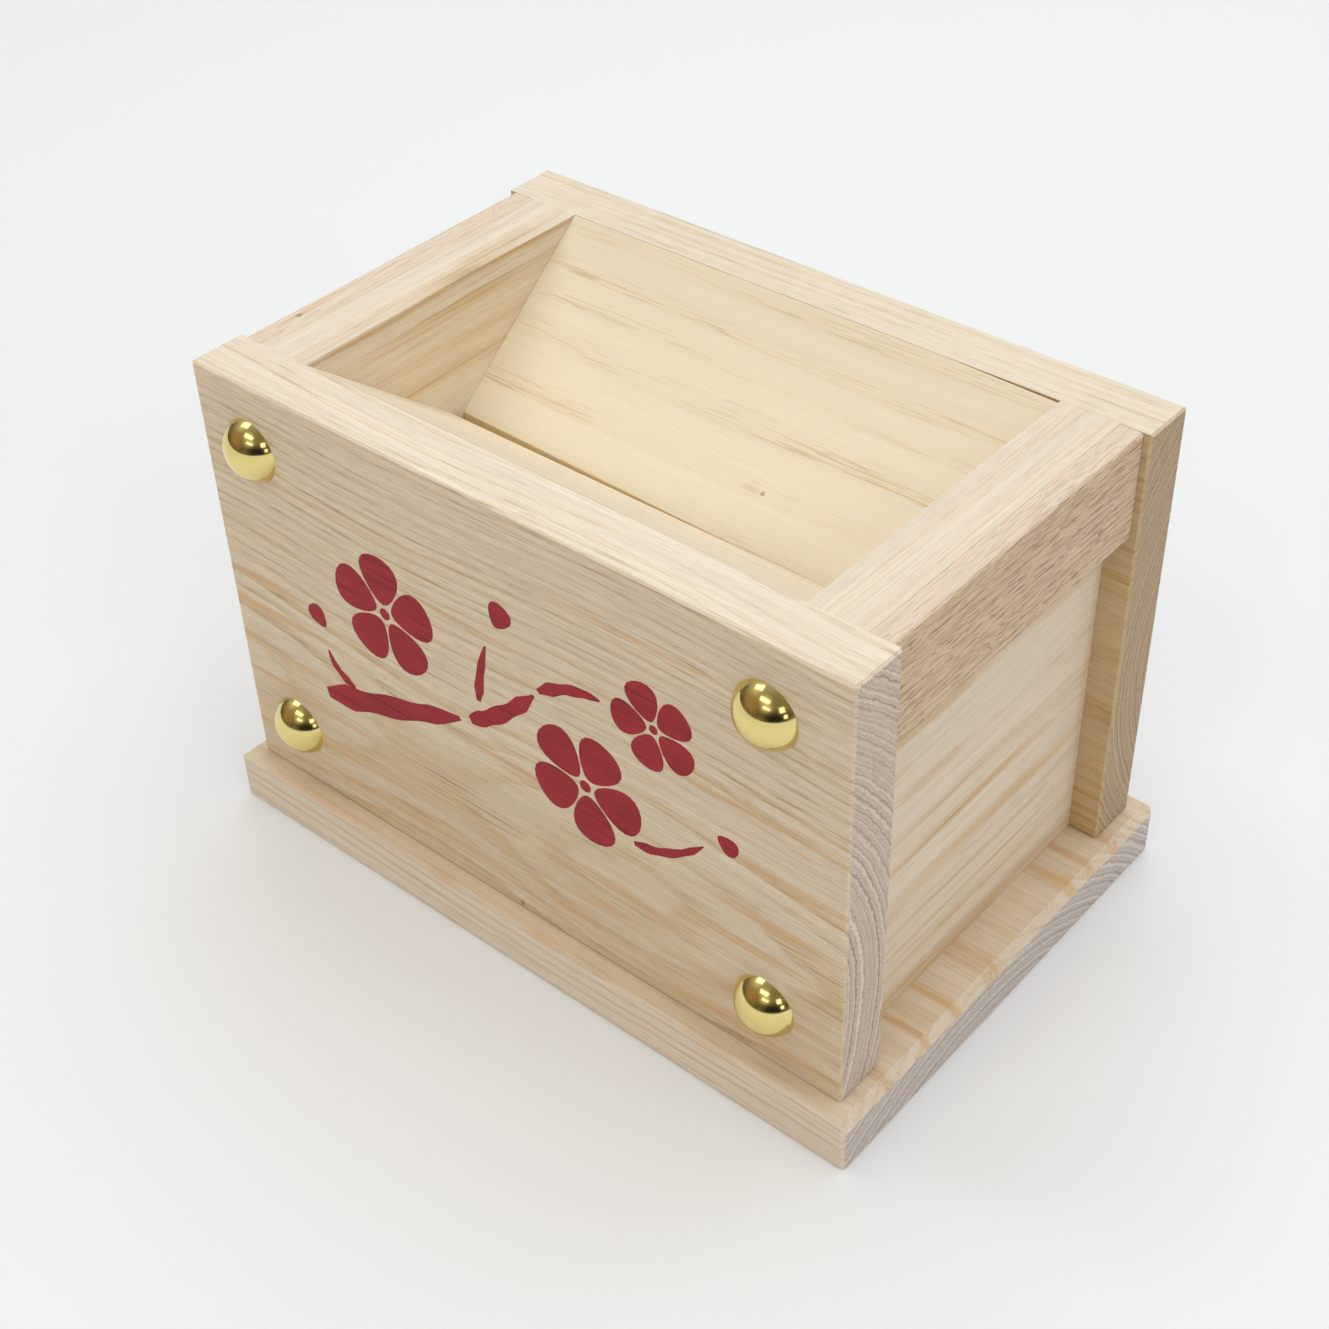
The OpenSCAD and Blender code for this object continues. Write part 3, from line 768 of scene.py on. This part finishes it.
# Ceiling lamps: how far right and in front of the box, as shares of the ceiling's height
CEILING_H = 2.2
CEILING_LAMPS = [(-0.66, 0.20), (-0.02, 0.72), (0.33, 1.32)]
CEILING_LAMP_SIZE = (1.3, 0.6)
CEILING_LAMP_RADIANCE = 1.8
CEILING_LAMP_COLOUR = (1.0, 0.99, 0.95)

# Window panes: azimuth, elevation and side
WINDOWS = [(62, 33, 0.6), (68, 15, 0.42)]
WINDOW_DISTANCE = 2.6
WINDOW_RADIANCE = 1.7

# Soft lamps that the brass doesn't mirror: name, place, target, side, radiance and colour
AIM = (0, 0, 0.05)
FILL_DISTANCE = 2.2
FILLS = [
    ("top_fill", (-0.1, 0.55, 1.6), (0, 0.15, 0.05), 2.0, 1.46, (0.93, 0.97, 1.0)),
    ("front_fill", FILL_DISTANCE * direction(-5, 35), AIM, 1.4, 0.96, (0.88, 0.95, 1.0)),
    ("right_fill", FILL_DISTANCE * direction(88, 38), AIM, 1.6, 1.2, (0.95, 0.98, 1.0)),
]


def add_floor():
    """Pale floor that fades into the backdrop far from the box, where no shadow falls."""
    mesh = bpy.data.meshes.new("floor")
    h = FLOOR_HALF
    mesh.from_pydata([(-h, -h, 0), (h, -h, 0), (h, h, 0), (-h, h, 0)], [], [(0, 1, 2, 3)])
    floor = bpy.data.objects.new("floor", mesh)
    mesh.materials.append(floor_material())
    bpy.context.scene.collection.objects.link(floor)


def floor_material():
    s = Shader(bpy.data.materials.new("floor"))
    place = s.object_place()
    s.set(Base_Color=s.bright(FLOOR_COLOUR, s.ramp(s.noise(place, 1.0), 0.995, 1.005)), Roughness=0.9)
    s.surface.inputs["Specular IOR Level"].default_value = 0.1
    rays = s.tree.nodes.new("ShaderNodeLightPath").outputs
    seen = s.most(rays["Is Camera Ray"], s.most(rays["Is Glossy Ray"], rays["Is Transmission Ray"]))
    far = s.step(s.vector("LENGTH", place), FADE_FROM / MM, FADE_TO / MM)
    glow = s.tree.nodes.new("ShaderNodeEmission")
    s.feed(glow.inputs["Color"], BACKDROP)
    blend = s.tree.nodes.new("ShaderNodeMixShader")
    s.feed(blend.inputs[0], s.mul(seen, far))
    s.tree.links.new(s.surface.outputs[0], blend.inputs[1])
    s.tree.links.new(glow.outputs[0], blend.inputs[2])
    s.tree.links.new(blend.outputs[0], s.tree.nodes["Material Output"].inputs["Surface"])
    return s.owner


def add_lamp(name, at, target, size, radiance, colour=WHITE):
    """Area lamp: size in metres, radiance as a colour renders, where 1 is white."""
    data = bpy.data.lights.new(name, "AREA")
    data.shape = "RECTANGLE"
    data.size, data.size_y = size
    data.energy = radiance * pi * size[0] * size[1]
    data.color = colour
    lamp = bpy.data.objects.new(name, data)
    back = (Vector(at) - Vector(target)).normalized()
    lamp.matrix_world = Matrix.Translation(at) @ back.to_track_quat("Z", "Y").to_matrix().to_4x4()
    bpy.context.scene.collection.objects.link(lamp)
    return lamp


def add_lamps():
    for number, (right, front) in enumerate(CEILING_LAMPS):
        at = Vector((right * CEILING_H, -front * CEILING_H, CEILING_H))
        add_lamp(f"ceiling_lamp_{number}", at, at - Z_AXIS, CEILING_LAMP_SIZE, CEILING_LAMP_RADIANCE,
                 CEILING_LAMP_COLOUR)
    for number, (azimuth, elevation, side) in enumerate(WINDOWS):
        at = WINDOW_DISTANCE * direction(azimuth, elevation)
        add_lamp(f"window_{number}", at, AIM, (side, side), WINDOW_RADIANCE)
    for name, at, target, side, radiance, colour in FILLS:
        add_lamp(name, at, target, (side, side), radiance, colour).visible_glossy = False


# Colours of the room that lights the box and that the brass mirrors
WALL_DARK = (0.08, 0.07, 0.055)
WALL_PALE = (0.22, 0.18, 0.13)
CEILING_LEFT = (0.46, 0.455, 0.45)
CEILING_RIGHT = (0.25, 0.215, 0.14)
SHELF = (0.38, 0.24, 0.12)
GLOW = (0.75, 0.68, 0.50)
FIGURE = (0.02, 0.02, 0.018)

# Where things are in the room, and their radii on a sphere of radius 1. The ceiling changes RIGHTWARDS.
RIGHTWARDS = direction(35, 0)
SHELF_AT = direction(-42, 24)
SHELF_RADII = (0.75, 0.75, 0.50)
GLOWS_AT = [direction(-72, 50), direction(-2, 54), direction(13, 36)]
GLOW_RADII = (0.42, 0.42, 0.30)
FIGURE_AT = direction(41, 6)
FIGURE_RADII = (0.85, 0.85, 0.62)


def room_colour(s, towards, up):
    """Dark walls with clutter under a paler ceiling, a warm shelf, three glows and a dark figure."""
    side = s.vector("DOT_PRODUCT", towards, tuple(RIGHTWARDS))
    clutter = s.noise(s.vector("MULTIPLY", towards, (3.0, 3.0, 5.0)), 2.0)
    wall = s.mix(s.step(clutter, 0.35, 0.65), WALL_DARK, WALL_PALE)
    ceiling = s.mix(s.step(side, -0.3, 0.5), CEILING_LEFT, CEILING_RIGHT)
    room = s.mix(s.step(up, 0.20, 0.62), wall, ceiling)
    room = s.mix(s.mul(s.spot(towards, tuple(SHELF_AT), SHELF_RADII), 0.8), room, SHELF)
    for glow_at in GLOWS_AT:
        room = s.mix(s.mul(s.spot(towards, tuple(glow_at), GLOW_RADII), 0.7), room, GLOW)
    return s.mix(s.spot(towards, tuple(FIGURE_AT), FIGURE_RADII), room, FIGURE)


def add_world():
    """A room; but the camera, and mirrored rays below the horizon, see the pale backdrop."""
    world = bpy.data.worlds.new("room")
    bpy.context.scene.world = world
    s = Shader(world)
    towards = s.tree.nodes.new("ShaderNodeTexCoord").outputs["Generated"]
    up = s.vector("DOT_PRODUCT", towards, tuple(Z_AXIS))
    room = room_colour(s, towards, up)
    rays = s.tree.nodes.new("ShaderNodeLightPath").outputs
    below = s.step(up, 0.01, 0.0)
    mirrored = s.mul(s.most(rays["Is Glossy Ray"], rays["Is Transmission Ray"]), below)
    background = s.tree.nodes["Background"]
    s.feed(background.inputs["Color"], s.mix(s.most(rays["Is Camera Ray"], mirrored), room, BACKDROP))


add_camera()
dress_front()
dress_back()
dress_base()
dress_sides()
dress_strips()
dress_chute()
dress_inner_woods()
add_sprig()
dress_metals()
add_floor()
add_lamps()
add_world()
bpy.context.scene.view_settings.view_transform = "Standard"
